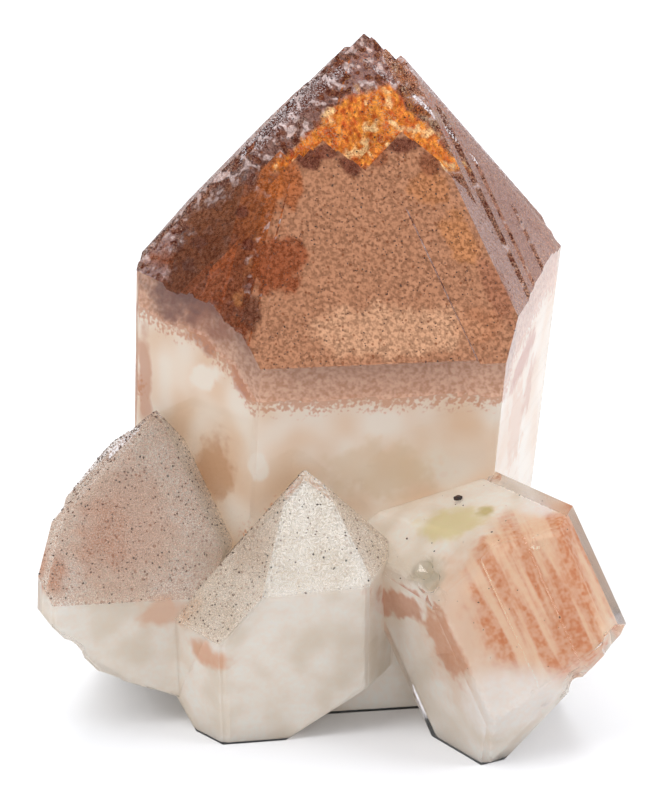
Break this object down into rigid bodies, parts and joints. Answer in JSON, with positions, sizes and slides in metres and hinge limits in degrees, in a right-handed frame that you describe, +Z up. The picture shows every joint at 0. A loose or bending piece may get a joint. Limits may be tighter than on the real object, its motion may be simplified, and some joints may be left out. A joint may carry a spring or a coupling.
{
  "type": "quartz crystal cluster",
  "caption": "Stepped quartz crystal with a phantom and iron-oxide inclusions, with smaller crystals grown on at its foot; a mineral specimen that stands by itself.",
  "frame": {"origin": "on the ground plane, under the middle of the group's bounding box", "axes": "+Z up, along the object's longest extent; -Y is the front, where the wide speckled face and the small crystals are; +X is to the right seen from the front"},
  "size_m": [0.0659, 0.0578, 0.0731],
  "materials": {
    "quartz": "glassy natural crystal faces over an orange-brown dusted phantom, milky towards the broken foot"
  },
  "bodies": {
    "root": {"quartz_cluster": "quartz"}
  },
  "joints": []
}
